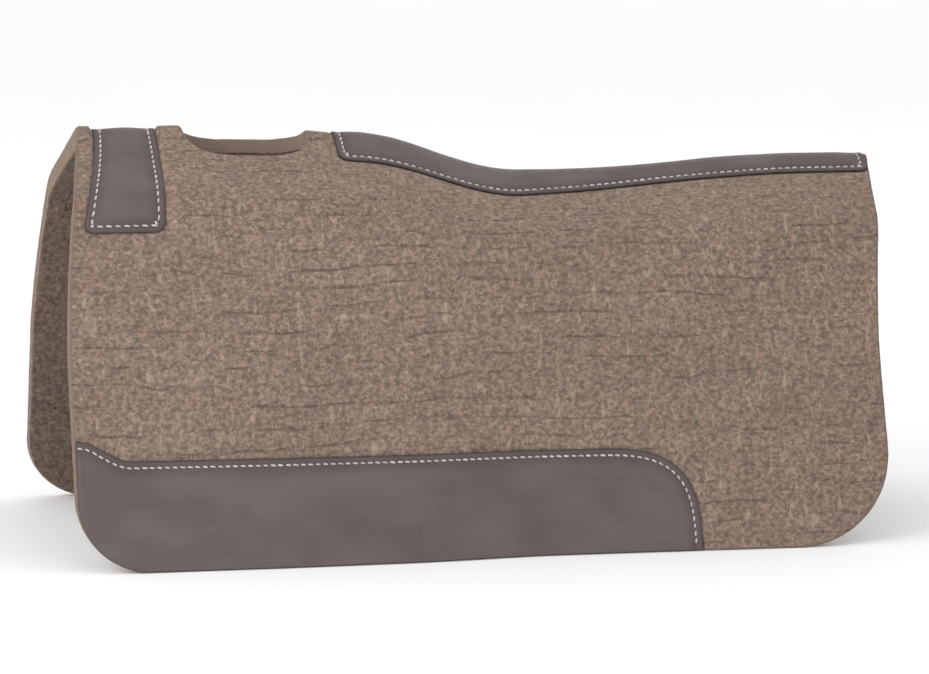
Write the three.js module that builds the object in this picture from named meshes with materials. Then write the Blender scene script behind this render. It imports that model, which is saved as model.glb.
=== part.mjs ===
// A contoured felt saddle pad, standing on its two lower edges.
// Two thick wool felt halves are sewn edge to edge along the spine.  Leather covers that seam behind the
// wither vent, a leather strap bridges it in front of the vent, and a wear leather covers the lower front
// of each flank.  Millimetres.  X runs along the spine with the withers end at -X, the horse's left is -Y,
// Z is up, and the origin is on the ground under the middle of the pad.
import * as THREE from "three";

const degrees = THREE.MathUtils.degToRad;

// ---------------------------------------------------------------- driving dimensions

// Felt blank, measured lengthwise from its foremost point and girthwise from the spine.
const FLANK_LENGTH = 785; // front edge to rear edge at mid flank
const FELT_THICKNESS = 19;
const FRONT_LEAN = 29; // the front edge at the spine lies this far behind its foremost point
const FRONT_LEAN_GIRTH = 280; // and has come all the way forward at this distance from the spine
const REAR_OVERHANG = 27; // the rear edge at the spine reaches this far past the flank
const REAR_OVERHANG_GIRTH = 260;
const EDGE_SWEEP = 1.5; // power of both sweeps
const FRONT_CORNER_RADIUS = 68;
const REAR_CORNER_RADIUS = 96;

// Topline of the felt: high withers that fall a little over the vent, a dip for the back, a small rise to
// the loin.
const WITHERS_HEIGHT = 392;
const WITHERS_FALL = 10;
const FALL_START = 180;
const FALL_END = 320;
const BACK_DIP = 39;
const DIP_START = 295;
const DIP_END = 460;
const LOIN_RISE = 11;
const RISE_START = 500;
const RISE_END = 740;

// Cross-section of the outer face, the same on both sides of the spine.
const CROWN_RADIUS = 25;
const ROOF_SLOPE = degrees(28.3);
const ROOF_WIDTH = 90;
const SHOULDER_RADIUS = 47;
const WALL_LEAN = degrees(20.7);

// Spine seam and wither vent.
const SEAM_RELIEF = 7; // room between the two felt halves, so that they can fold
const VENT_START = 129;
const VENT_LENGTH = 121;
const VENT_LEFT_WIDTH = 54; // girthwise, from the spine to the vent's edge on the horse's left
const VENT_RIGHT_WIDTH = 37;
const VENT_BLUNTNESS = 2.6; // power of the superellipse

// Leather.
const LEATHER_THICKNESS = 3;
const CONTACT_GAP = 0.3; // pieces that touch keep this between them
const STRAP_SETBACK = 14.5; // wither strap behind the felt's front edge, on the spine
const STRAP_VENT_GAP = 26.5; // wither strap in front of the vent, on the spine
const STRAP_HALF_LENGTH = 154.5; // girthwise, spine to each end
const STRAP_FRONT_SWEEP = 24.5; // its front edge is this much further forward at its ends
const STRAP_REAR_SWEEP = 5.2; // and so is its rear edge
const STRAP_SWEEP_POWER = 1.5;
const STRAP_CORNER = 10;
const STRIP_VENT_GAP = 26; // spine strip behind the vent
const STRIP_END_SETBACK = 5; // spine strip in front of the felt's rear edge
const STRIP_FRONT_HALF = 52;
const STRIP_REAR_HALF = 35;
const STRIP_TAPER_START = 330;
const STRIP_TAPER_END = 630;
const STRIP_CORNER = 10;
const WEAR_SETBACK = 2; // wear leather inside the felt's front and lower edges
const WEAR_FRONT_HEIGHT = 126; // girthwise, above the lower edge
const WEAR_HEIGHT = 106.3;
const WEAR_STEP_START = 4; // lengthwise, where the top edge starts and ends its step down
const WEAR_STEP_END = 53;
const WEAR_TAPER = 5.5; // further fall of the top edge over the leather's length
const WEAR_REAR_SETBACK = 189.5; // wear leather in front of the felt's rear edge
const WEAR_CORNER = 96; // length of its rear corner, a quarter of a superellipse
const WEAR_FOOT = 12; // height of the straight rear edge under the corner
const WEAR_BLUNTNESS = 3; // power of the superellipse

// Stitching.
const STITCH_INSET = 6.5; // from the leather's edge
const THREAD_WIDTH = 1.4;
const THREAD_SETBACK = 4; // a seam's first and last stitch from the felt's edge
const JOIN_BITE = 6; // zigzag over the spine seam, into each felt half
const JOIN_PITCH = 13;
const JOIN_MARGIN = 6; // zigzag's ends from the ends of its felt bridge

// Mesh steps.
const ROWS = { roof: [0, 0.05, 0.09, 0.13, 0.55, 1], shoulder: 5, wall: 3, corner: 6 };
const END_COLUMNS = 6;
const VENT_COLUMNS = 8;
const DIP_COLUMNS = 12;
const BACK_COLUMN_WIDTH = 42; // at most
const REAR_COLUMNS = 4;
const CORNER_STEPS = 4;
const CROWN_STEPS = 3; // on each side of the spine
const CROSSING_SHARES = [0.5, 0.8, 1];
const REAR_STRAIGHT = 43; // columns keep their places up to this far in front of the rear corners
const CLOSEST_STATIONS = 2; // no station closer than this to the end of a piece

// ---------------------------------------------------------------- shape of the pad

const wallSlope = Math.PI / 2 - WALL_LEAN;
const crownEnd = CROWN_RADIUS * ROOF_SLOPE;
const shoulderStart = crownEnd + ROOF_WIDTH;
const shoulderEnd = shoulderStart + SHOULDER_RADIUS * (wallSlope - ROOF_SLOPE);
const spineEnd = FLANK_LENGTH + REAR_OVERHANG;
const middle = spineEnd / 2;
const strapRear = VENT_START - STRAP_VENT_GAP;
const stripStart = VENT_START + VENT_LENGTH + STRIP_VENT_GAP;
const stripEnd = spineEnd - STRIP_END_SETBACK;
const wearRear = FLANK_LENGTH - WEAR_REAR_SETBACK;
const rearZone = FLANK_LENGTH - REAR_CORNER_RADIUS - REAR_STRAIGHT;

const smooth = (x, from, to) => THREE.MathUtils.smoothstep(x, from, to);

/** Height of the felt's outer face on the spine, at a place along it. */
const topline = (x) =>
  WITHERS_HEIGHT -
  WITHERS_FALL * smooth(x, FALL_START, FALL_END) -
  BACK_DIP * smooth(x, DIP_START, DIP_END) +
  LOIN_RISE * smooth(x, RISE_START, RISE_END);

/**
 * Half of the cross-section, a girth away from the spine and lifted off the felt's outer face: a crown
 * arc, a straight roof, a shoulder arc and a straight wall.  Returns [sideways, height over the topline].
 */
function section(girth, lift) {
  const arcs = [
    [0, CROWN_RADIUS, 0, ROOF_SLOPE],
    [shoulderStart, SHOULDER_RADIUS, ROOF_SLOPE, wallSlope],
  ];
  let side = 0;
  let height = 0;
  let slope = 0;
  let used = 0;
  for (const [start, radius, from, to] of arcs) {
    const straight = Math.min(girth, start) - used;
    side += straight * Math.cos(slope);
    height -= straight * Math.sin(slope);
    used = start;
    if (girth <= start) break;
    slope = Math.min(to, from + (girth - start) / radius);
    side += radius * (Math.sin(slope) - Math.sin(from));
    height -= radius * (Math.cos(from) - Math.cos(slope));
    used = start + radius * (slope - from);
  }
  const rest = Math.max(0, girth - used);
  side += rest * Math.cos(slope) + lift * Math.sin(slope);
  height += lift * Math.cos(slope) - rest * Math.sin(slope);
  return [side, height];
}

/** The point at a length x and a signed girth (negative on the horse's left), lifted off the felt. */
function onPad(x, girth, lift) {
  const [side, height] = section(Math.abs(girth), lift);
  return new THREE.Vector3(x - middle, Math.sign(girth) * side, topline(x) + height);
}

/** Girth at which a face lifted off the felt meets the ground. */
function groundGirth(x, lift) {
  const [, height] = section(shoulderEnd, lift);
  return shoulderEnd + (topline(x) + height) / Math.sin(wallSlope);
}

/** Girth at which a face lifted off the felt stands half the seam relief from the middle plane. */
function seamGirth(lift) {
  const radius = CROWN_RADIUS + lift;
  const crownSide = radius * Math.sin(ROOF_SLOPE);
  const side = SEAM_RELIEF / 2;
  if (side <= crownSide) return CROWN_RADIUS * Math.asin(side / radius);
  return crownEnd + (side - crownSide) / Math.cos(ROOF_SLOPE);
}

const joinReach = seamGirth(-FELT_THICKNESS) + JOIN_BITE;

/** How far a quarter circle has drawn in, at a distance from the end of its straight edge. */
const cornerInset = (distance, radius) =>
  distance >= radius ? 0 : radius - Math.sqrt(radius ** 2 - (radius - Math.max(0, distance)) ** 2);

const sweep = (girth, reach) => Math.max(0, 1 - girth / reach) ** EDGE_SWEEP;
const feltFront = (girth) => FRONT_LEAN * sweep(girth, FRONT_LEAN_GIRTH);
const feltRear = (girth) => FLANK_LENGTH + REAR_OVERHANG * sweep(girth, REAR_OVERHANG_GIRTH);

/** Girth of the vent's edge on one side of the spine (-1 for the horse's left), zero beyond its ends. */
function ventEdge(x, side) {
  const along = Math.abs(x - VENT_START - VENT_LENGTH / 2) / (VENT_LENGTH / 2);
  const width = side < 0 ? VENT_LEFT_WIDTH : VENT_RIGHT_WIDTH;
  return along >= 1 ? 0 : width * (1 - along ** VENT_BLUNTNESS) ** (1 / VENT_BLUNTNESS);
}

const spread = (from, to, steps) =>
  Array.from({ length: steps }, (_, i) => from + ((to - from) * (i + 1)) / steps);

const ventColumns = Array.from(
  { length: VENT_COLUMNS + 1 },
  (_, i) => VENT_START + (VENT_LENGTH / 2) * (1 - Math.cos((Math.PI * i) / VENT_COLUMNS)),
);

/** Columns at a fixed length, shared by the felt and the leather on it. */
const stations = [
  strapRear,
  ...ventColumns,
  ...spread(VENT_START + VENT_LENGTH, DIP_END, DIP_COLUMNS),
  ...spread(DIP_END, rearZone, Math.ceil((rearZone - DIP_END) / BACK_COLUMN_WIDTH)),
];
const stationsBetween = (from, to) =>
  stations.filter((x) => x > from + CLOSEST_STATIONS && x < to - CLOSEST_STATIONS);

// ---------------------------------------------------------------- meshes

/** A mesh from its points and quads, each quad listed anticlockwise as seen from outside. */
function closedMesh(name, points, quads, colour, roughness) {
  const geometry = new THREE.BufferGeometry().setFromPoints(points);
  geometry.setIndex(quads.flatMap(([a, b, c, d]) => [a, b, c, a, c, d]));
  geometry.computeVertexNormals();
  const material = new THREE.MeshStandardMaterial({ color: colour, roughness, metalness: 0 });
  const mesh = new THREE.Mesh(geometry, material);
  mesh.name = name;
  return mesh;
}

const felt = (name, points, quads) => closedMesh(name, points, quads, 0x8c7c70, 1);
const leather = (name, points, quads) => closedMesh(name, points, quads, 0x6c6260, 0.55);
const thread = (name, points, quads) => closedMesh(name, points, quads, 0xe6dfd2, 0.7);

/**
 * A sheet with a thickness: point(column, row, face) gives its outer face (1) and its inner face (0) over a
 * grid, and walls close it all round.  flip turns it the right way out on the horse's left.
 */
function sheet(columns, rows, point, flip) {
  const points = [];
  const index = (i, j, face) => (i * (rows + 1) + j) * 2 + face;
  for (let i = 0; i <= columns; i++)
    for (let j = 0; j <= rows; j++) points.push(point(i, j, 0), point(i, j, 1));
  const quads = [];
  for (let i = 0; i < columns; i++)
    for (let j = 0; j < rows; j++)
      quads.push(
        [index(i, j, 1), index(i + 1, j, 1), index(i + 1, j + 1, 1), index(i, j + 1, 1)],
        [index(i, j, 0), index(i, j + 1, 0), index(i + 1, j + 1, 0), index(i + 1, j, 0)],
      );
  for (let i = 0; i < columns; i++)
    quads.push(
      [index(i, 0, 0), index(i + 1, 0, 0), index(i + 1, 0, 1), index(i, 0, 1)],
      [index(i, rows, 1), index(i + 1, rows, 1), index(i + 1, rows, 0), index(i, rows, 0)],
    );
  for (let j = 0; j < rows; j++)
    quads.push(
      [index(0, j, 0), index(0, j, 1), index(0, j + 1, 1), index(0, j + 1, 0)],
      [index(columns, j, 1), index(columns, j, 0), index(columns, j + 1, 0), index(columns, j + 1, 1)],
    );
  return [points, flip ? quads.map((quad) => quad.reverse()) : quads];
}

/**
 * A square thread along stops of [x, girth, clearance] on a face lifted off the felt, standing off it by the
 * clearance.  outward is 1 on the outer face and -1 on the inner face.  A closed thread joins its end to its
 * start.
 */
function threadAlong(stops, lift, outward, closed) {
  const count = stops.length;
  const half = THREAD_WIDTH / 2;
  const centre = stops.map(([x, girth, clearance = 0]) =>
    onPad(x, girth, lift + outward * (half + clearance)),
  );
  const points = [];
  centre.forEach((here, i) => {
    const [x, girth] = stops[i];
    const before = centre[closed ? (i + count - 1) % count : Math.max(0, i - 1)];
    const after = centre[closed ? (i + 1) % count : Math.min(count - 1, i + 1)];
    const ahead = new THREE.Vector3().subVectors(after, before).normalize();
    const up = onPad(x, girth, lift + 1).sub(onPad(x, girth, lift));
    const across = new THREE.Vector3().crossVectors(up, ahead).normalize();
    up.crossVectors(ahead, across).normalize();
    for (const [a, b] of [[-1, -1], [1, -1], [1, 1], [-1, 1]])
      points.push(here.clone().addScaledVector(across, a * half).addScaledVector(up, b * half));
  });
  const quads = [];
  for (let i = 0; i < (closed ? count : count - 1); i++) {
    const next = (i + 1) % count;
    for (let k = 0; k < 4; k++) {
      const turn = (k + 1) % 4;
      quads.push([i * 4 + k, i * 4 + turn, next * 4 + turn, next * 4 + k]);
    }
  }
  const last = (count - 1) * 4;
  if (!closed) quads.push([3, 2, 1, 0], [last, last + 1, last + 2, last + 3]);
  return [points, quads];
}

// ---------------------------------------------------------------- felt halves

/** Girth of a felt row: 0 to 1 over the roof, to 2 over the shoulder, to 3 down the wall, to 4 at the hem. */
function feltGirth(x, row, lift, side) {
  const hem = groundGirth(x, lift);
  const cornerTop = hem - REAR_CORNER_RADIUS;
  const top = Math.max(seamGirth(lift), ventEdge(x, side));
  if (row <= 1) return THREE.MathUtils.lerp(top, shoulderStart, row);
  if (row <= 2) return THREE.MathUtils.lerp(shoulderStart, shoulderEnd, row - 1);
  if (row <= 3) return THREE.MathUtils.lerp(shoulderEnd, cornerTop, row - 2);
  return hem - REAR_CORNER_RADIUS * (1 - Math.sin(((row - 3) * Math.PI) / 2));
}

const feltRows = [
  ...ROWS.roof,
  ...spread(1, 2, ROWS.shoulder),
  ...spread(2, 3, ROWS.wall),
  ...spread(3, 4, ROWS.corner),
];

/** Both ends of a felt row: the swept edge, drawn in by the rounded corner near the ground. */
function feltRowEnds(row, lift, side) {
  const front = feltGirth(0, row, lift, side);
  const rear = feltGirth(FLANK_LENGTH, row, lift, side);
  return [
    feltFront(front) + cornerInset(groundGirth(0, lift) - front, FRONT_CORNER_RADIUS),
    feltRear(rear) - cornerInset(groundGirth(FLANK_LENGTH, lift) - rear, REAR_CORNER_RADIUS),
  ];
}

function feltHalf(name, side) {
  const endShares = spread(0, 1, END_COLUMNS).map((share) => Math.sin((share * Math.PI) / 2));
  const columns = 2 * END_COLUMNS + stations.length - 1;
  const place = (column, row, lift) => {
    const [front, rear] = feltRowEnds(row, lift, side);
    if (column < END_COLUMNS) {
      const share = column ? 1 - endShares[END_COLUMNS - column - 1] : 0;
      return THREE.MathUtils.lerp(front, strapRear, share);
    }
    if (column > END_COLUMNS + stations.length - 1)
      return THREE.MathUtils.lerp(rearZone, rear, endShares[column - END_COLUMNS - stations.length]);
    return stations[column - END_COLUMNS];
  };
  const point = (i, j, face) => {
    const lift = face ? 0 : -FELT_THICKNESS;
    const x = place(i, feltRows[j], lift);
    return onPad(x, side * feltGirth(x, feltRows[j], lift, side), lift);
  };
  return felt(name, ...sheet(columns, feltRows.length - 1, point, side < 0));
}

// ---------------------------------------------------------------- leather

const leatherLift = (face) => CONTACT_GAP + face * LEATHER_THICKNESS;

/** Front and rear edges of the wither strap, a girth away from the spine. */
function strapEdges(girth) {
  const share = Math.abs(girth / STRAP_HALF_LENGTH) ** STRAP_SWEEP_POWER;
  return [FRONT_LEAN + STRAP_SETBACK - STRAP_FRONT_SWEEP * share, strapRear - STRAP_REAR_SWEEP * share];
}

/** Half width of the spine strip before its corners are rounded. */
const stripHalf = (x) =>
  STRIP_FRONT_HALF - (STRIP_FRONT_HALF - STRIP_REAR_HALF) * smooth(x, STRIP_TAPER_START, STRIP_TAPER_END);

/** Places along an edge that ends in two rounded corners, close together in each corner. */
function cornered(from, to, radius, between) {
  const bend = spread(0, 1, CORNER_STEPS).map((share) => radius * (1 - Math.cos((share * Math.PI) / 2)));
  return [from, ...bend.map((d) => from + d), ...between, ...bend.reverse().map((d) => to - d), to];
}

function witherStrap() {
  const shoulder = [shoulderEnd, ...spread(shoulderEnd, shoulderStart, ROWS.shoulder)];
  const down = shoulder.map((girth) => -girth);
  const between = [...down, ...crossing(shoulderStart).slice(1, -1), ...shoulder.reverse()];
  const girths = cornered(-STRAP_HALF_LENGTH, STRAP_HALF_LENGTH, STRAP_CORNER, between);
  const columns = 4;
  const point = (i, j, face) => {
    const girth = girths[j];
    const inset = cornerInset(STRAP_HALF_LENGTH - Math.abs(girth), STRAP_CORNER);
    const [front, rear] = strapEdges(girth);
    return onPad(THREE.MathUtils.lerp(front + inset, rear - inset, i / columns), girth, leatherLift(face));
  };
  return leather("wither_strap", ...sheet(columns, girths.length - 1, point, false));
}

/** Places along the spine strip between its rounded corners. */
const stripLengths = () => [
  ...stationsBetween(stripStart + STRIP_CORNER, rearZone + 1),
  ...spread(rearZone, stripEnd - STRIP_CORNER, REAR_COLUMNS).slice(0, -1),
];

/** Girths that cross the spine from one side of a strip to the other, in even steps over the crown. */
function crossing(half) {
  const crown = [-crownEnd, ...spread(-crownEnd, crownEnd, 2 * CROWN_STEPS)];
  const side = CROSSING_SHARES.map((share) => share * half);
  return [...side.map((girth) => -girth).reverse(), ...crown, ...side];
}

function spineStrip() {
  const lengths = cornered(stripStart, stripEnd, STRIP_CORNER, stripLengths());
  const rows = crossing(STRIP_FRONT_HALF).length - 1;
  const point = (i, j, face) => {
    const x = lengths[i];
    const half = stripHalf(x) - cornerInset(Math.min(x - stripStart, stripEnd - x), STRIP_CORNER);
    return onPad(x, crossing(half)[j], leatherLift(face));
  };
  return leather("spine_strip", ...sheet(lengths.length - 1, rows, point, false));
}

/** Top edge of a wear leather above the ground, girthwise, drawn in by an inset. */
function wearTop(x, inset) {
  const step = smooth(x, WEAR_STEP_START, WEAR_STEP_END);
  const fall = (WEAR_FRONT_HEIGHT - WEAR_HEIGHT) * step + (WEAR_TAPER * x) / wearRear;
  const over = WEAR_FRONT_HEIGHT - fall - inset - WEAR_FOOT;
  const into = THREE.MathUtils.clamp((x - wearRear + WEAR_CORNER) / (WEAR_CORNER - inset), 0, 1);
  return WEAR_FOOT + over * (1 - into ** WEAR_BLUNTNESS) ** (1 / WEAR_BLUNTNESS);
}

/** Places along a wear leather's rear corner, close together towards its rear edge. */
const wearCorner = (inset) =>
  spread(0, 1, 2 * CORNER_STEPS).map(
    (share) => wearRear - WEAR_CORNER + (WEAR_CORNER - inset) * Math.sin((share * Math.PI) / 2),
  );

/** Places along a wear leather, close together where its edges curve. */
function wearLengths(inset) {
  const reach = FRONT_CORNER_RADIUS - WEAR_SETBACK;
  const front = spread(1, 0, 2 * CORNER_STEPS).map((share) => reach * (1 - Math.sin((share * Math.PI) / 2)));
  const start = inset ? THREAD_SETBACK : WEAR_SETBACK;
  return [
    start,
    ...front.map((d) => WEAR_SETBACK + d).filter((x) => x > start),
    ...stationsBetween(FRONT_CORNER_RADIUS, wearRear - WEAR_CORNER),
    wearRear - WEAR_CORNER,
    ...wearCorner(inset),
  ];
}

function wearLeather(name, side) {
  const lengths = wearLengths(0);
  const rows = 4;
  const radius = FRONT_CORNER_RADIUS - WEAR_SETBACK;
  const point = (i, j, face) => {
    const x = lengths[i];
    const lift = leatherLift(face);
    const low = WEAR_SETBACK + cornerInset(x - WEAR_SETBACK, radius);
    const above = THREE.MathUtils.lerp(wearTop(x, 0), low, j / rows);
    return onPad(x, side * (groundGirth(x, lift) - above), lift);
  };
  return leather(name, ...sheet(lengths.length - 1, rows, point, side < 0));
}

// ---------------------------------------------------------------- stitching

/** Girths and clearances of a thread that crosses the spine, taut over the zigzag if it is given room. */
function threadCrossing(half, room) {
  if (!room) return crossing(half).map((girth) => [girth, 0]);
  const reach = joinReach + THREAD_WIDTH + CONTACT_GAP;
  return [[-half, 0], [-reach, room], [reach, room], [half, 0]];
}

/** Stops of the thread round the wither strap's edge. */
function strapStops(room) {
  const reach = STRAP_HALF_LENGTH - STITCH_INSET;
  const shoulder = [reach, shoulderEnd, ...spread(shoulderEnd, shoulderStart, ROWS.shoulder)];
  const left = shoulder.map((girth) => [-girth, 0]);
  const right = shoulder.map((girth) => [girth, 0]).reverse();
  const all = [...left, ...threadCrossing(shoulderStart, room).slice(1, -1), ...right];
  return [
    ...all.map(([girth, clearance]) => [strapEdges(girth)[0] + STITCH_INSET, girth, clearance]),
    ...all.map(([girth, clearance]) => [strapEdges(girth)[1] - STITCH_INSET, girth, clearance]).reverse(),
  ];
}

/** Stops of the thread round the spine strip's edge. */
function stripStops(room) {
  const start = stripStart + STITCH_INSET;
  const end = stripEnd - STITCH_INSET;
  const lengths = [start, ...stripLengths(), end];
  const half = (x) => stripHalf(x) - STITCH_INSET;
  const right = lengths.map((x) => [x, half(x)]);
  const left = lengths.map((x) => [x, -half(x)]).reverse();
  const across = (x) => threadCrossing(half(x), room).slice(1, -1).map((stop) => [x, ...stop]);
  const atEnd = across(end).reverse();
  const atStart = across(start);
  return [...right, ...atEnd, ...left, ...atStart];
}

function wearStops(side, lift) {
  const lengths = wearLengths(STITCH_INSET);
  const stops = lengths.map((x) => [x, side * (groundGirth(x, lift) - wearTop(x, STITCH_INSET))]);
  const x = lengths[lengths.length - 1];
  stops.push([x, side * (groundGirth(x, lift) - THREAD_SETBACK)]);
  return stops;
}

/** Stops of the zigzag that joins the felt halves between two places along the spine. */
function joinStops(from, to) {
  const turns = Math.floor((to - from - 2 * JOIN_MARGIN) / (JOIN_PITCH / 2));
  const step = (to - from - 2 * JOIN_MARGIN) / turns;
  return Array.from({ length: turns + 1 }, (_, i) => [
    from + JOIN_MARGIN + i * step,
    (i % 2 ? 1 : -1) * joinReach,
  ]);
}

// ---------------------------------------------------------------- assembly

const topLift = CONTACT_GAP + LEATHER_THICKNESS + CONTACT_GAP;
const underLift = -FELT_THICKNESS - CONTACT_GAP;

const leftFlank = new THREE.Group();
leftFlank.add(feltHalf("felt_left", -1));
leftFlank.add(wearLeather("wear_leather_left", -1));

const rightFlank = new THREE.Group();
rightFlank.add(feltHalf("felt_right", 1));
rightFlank.add(wearLeather("wear_leather_right", 1));

const spine = new THREE.Group();
spine.add(witherStrap(), spineStrip());
for (const [name, stops] of [
  ["wither_strap", strapStops],
  ["spine_strip", stripStops],
]) {
  const overZigzag = THREAD_WIDTH + CONTACT_GAP;
  spine.add(thread(name + "_thread", ...threadAlong(stops(0), topLift, 1, true)));
  spine.add(thread(name + "_bobbin_thread", ...threadAlong(stops(overZigzag), underLift, -1, true)));
}

for (const [name, from, to] of [
  ["front", FRONT_LEAN, VENT_START],
  ["rear", VENT_START + VENT_LENGTH, spineEnd],
])
  spine.add(thread("spine_join_thread_" + name, ...threadAlong(joinStops(from, to), underLift, -1, false)));

for (const [flank, name, side] of [
  [leftFlank, "left", -1],
  [rightFlank, "right", 1],
]) {
  const top = wearStops(side, topLift);
  const under = wearStops(side, underLift);
  flank.add(thread("wear_leather_" + name + "_thread", ...threadAlong(top, topLift, 1, false)));
  flank.add(thread("wear_leather_" + name + "_bobbin_thread", ...threadAlong(under, underLift, -1, false)));
}

const pad = new THREE.Group();
pad.add(leftFlank, rightFlank, spine);

export default pad;
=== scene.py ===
"""Looks of a contoured wool felt saddle pad, standing on its two lower edges.

Two thick felt halves meet along the spine. A leather strap bridges them in front of the wither vent, a
leather strip covers the seam behind it, and a wear leather is sewn to the lower front of each flank.
Metres. X runs along the spine with the withers end at -X, the horse's left is -Y and Z is up.

Every piece is worked out on the pad's own surface, where a point is (x, girth, lift): x is measured from
the felt's foremost point, girth from the spine over the outer face (negative on the horse's left), and
lift is how far it stands off the outer face.
"""

import bpy
import numpy as np
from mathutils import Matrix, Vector


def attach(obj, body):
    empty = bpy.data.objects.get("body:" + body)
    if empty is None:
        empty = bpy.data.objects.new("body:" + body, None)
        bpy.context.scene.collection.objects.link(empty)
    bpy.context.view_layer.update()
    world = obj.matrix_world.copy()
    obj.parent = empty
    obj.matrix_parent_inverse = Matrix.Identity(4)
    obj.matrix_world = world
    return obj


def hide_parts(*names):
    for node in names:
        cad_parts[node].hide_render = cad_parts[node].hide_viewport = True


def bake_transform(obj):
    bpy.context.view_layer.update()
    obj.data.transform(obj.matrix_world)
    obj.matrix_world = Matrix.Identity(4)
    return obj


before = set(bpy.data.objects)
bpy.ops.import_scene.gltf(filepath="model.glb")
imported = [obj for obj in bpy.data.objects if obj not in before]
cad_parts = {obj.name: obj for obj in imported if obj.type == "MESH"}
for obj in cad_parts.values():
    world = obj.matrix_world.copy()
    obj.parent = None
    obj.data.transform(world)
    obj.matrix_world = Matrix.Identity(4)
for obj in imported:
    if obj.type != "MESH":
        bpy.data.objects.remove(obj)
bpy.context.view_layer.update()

# ---- sizes of the pad

FLANK_LENGTH = 0.785
FELT_THICKNESS = 0.019
FRONT_LEAN = 0.029
FRONT_LEAN_GIRTH = 0.280
REAR_OVERHANG = 0.027
REAR_OVERHANG_GIRTH = 0.260
EDGE_SWEEP = 1.5
FRONT_CORNER_RADIUS = 0.068
REAR_CORNER_RADIUS = 0.096

WITHERS_HEIGHT = 0.392
WITHERS_FALL = 0.010
FALL_START = 0.180
FALL_END = 0.320
BACK_DIP = 0.039
DIP_START = 0.295
DIP_END = 0.460
LOIN_RISE = 0.011
RISE_START = 0.500
RISE_END = 0.740

CROWN_RADIUS = 0.025
ROOF_SLOPE = np.radians(28.3)
ROOF_WIDTH = 0.090
SHOULDER_RADIUS = 0.047
WALL_SLOPE = np.radians(69.3)

VENT_START = 0.129
VENT_LENGTH = 0.121
VENT_LEFT_WIDTH = 0.054
VENT_RIGHT_WIDTH = 0.037
VENT_BLUNTNESS = 2.6

STRAP_FRONT = 0.0435
STRAP_REAR = 0.1025
STRAP_FRONT_SWEEP = 0.0245
STRAP_REAR_SWEEP = 0.0052
STRAP_SWEEP_POWER = 1.5
STRAP_HALF_LENGTH = 0.1545
STRAP_CORNER = 0.010
STRIP_START = 0.276
STRIP_END_SETBACK = 0.005
STRIP_FRONT_HALF = 0.052
STRIP_REAR_HALF = 0.035
STRIP_TAPER_START = 0.330
STRIP_TAPER_END = 0.630
STRIP_CORNER = 0.010
WEAR_FRONT_SETBACK = 0.002
WEAR_FRONT_HEIGHT = 0.126
WEAR_HEIGHT = 0.1063
WEAR_STEP_START = 0.004
WEAR_STEP_END = 0.053
WEAR_TAPER = 0.0055
WEAR_REAR = 0.5955
WEAR_CORNER = 0.096
WEAR_FOOT = 0.012
WEAR_BLUNTNESS = 3.0
STITCH_INSET = 0.0065

# What the finished pad shows and the solids leave out.
SEAM_HALF_GAP = 0.0002  # the felt halves butt together, all but this
FELT_EDGE_ROUND = 0.0024
LEATHER_THICKNESS = 0.0028
LEATHER_EDGE_ROUND = 0.0011
LEATHER_GAP = 0.0002
LEATHER_SINK = 0.0021  # sewn leather presses this far into the felt
WEAR_HEM_GAP = 0.0008
STITCH_GROOVE = 0.0008
STITCH_GROOVE_WIDTH = 0.0017
PILLOW_RISE = 0.0010
WITHERS_SWELL = 0.0026  # felt stands this much prouder over the withers where no leather lies
STRAP_SAG = 0.0014  # and the strap is drawn this much further down there
SWELL_WIDTH = 0.045
VENT_PARED = 0.0040  # felt taken off its inner face along the vent
JOIN_REACH = 0.019
JOIN_PITCH = 0.013
JOIN_MARGIN = 0.006

CROWN_END = CROWN_RADIUS * ROOF_SLOPE
SHOULDER_START = CROWN_END + ROOF_WIDTH
SHOULDER_END = SHOULDER_START + SHOULDER_RADIUS * (WALL_SLOPE - ROOF_SLOPE)
SPINE_END = FLANK_LENGTH + REAR_OVERHANG
MIDDLE = SPINE_END / 2
STRIP_END = SPINE_END - STRIP_END_SETBACK
REAR_ZONE = FLANK_LENGTH - REAR_CORNER_RADIUS - 0.043

LEFT, RIGHT = -1, 1
NEARBY = 0.0005  # a step for slopes

# ---- shape of the pad


def smooth(value, start, end):
    """Smooth step: 0 up to start, 1 from end, and 3t^2 - 2t^3 of the share t between them."""
    share = np.clip((value - start) / (end - start), 0, 1)
    return share * share * (3 - 2 * share)


def topline(x):
    """Height of the outer face on the spine: the withers' height, less a smooth fall and a smooth dip, plus
    a smooth rise."""
    return (
        WITHERS_HEIGHT
        - WITHERS_FALL * smooth(x, FALL_START, FALL_END)
        - BACK_DIP * smooth(x, DIP_START, DIP_END)
        + LOIN_RISE * smooth(x, RISE_START, RISE_END)
    )


def section(girth, lift):
    """Half of the cross-section: a crown arc, a straight roof, a shoulder arc and a straight wall, each as
    long as the girth that falls in it, then lift along the face's normal. Returns (sideways, height)."""
    crown = np.minimum(girth, CROWN_END) / CROWN_RADIUS
    roof = np.clip(girth - CROWN_END, 0, ROOF_WIDTH)
    turn = np.clip(girth - SHOULDER_START, 0, SHOULDER_END - SHOULDER_START) / SHOULDER_RADIUS
    wall = np.maximum(girth - SHOULDER_END, 0)
    bend = ROOF_SLOPE + turn
    slope = crown + turn
    side = (
        CROWN_RADIUS * np.sin(crown)
        + roof * np.cos(ROOF_SLOPE)
        + SHOULDER_RADIUS * (np.sin(bend) - np.sin(ROOF_SLOPE))
        + wall * np.cos(WALL_SLOPE)
    )
    drop = (
        CROWN_RADIUS * (1 - np.cos(crown))
        + roof * np.sin(ROOF_SLOPE)
        + SHOULDER_RADIUS * (np.cos(ROOF_SLOPE) - np.cos(bend))
        + wall * np.sin(WALL_SLOPE)
    )
    return side + lift * np.sin(slope), lift * np.cos(slope) - drop


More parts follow.
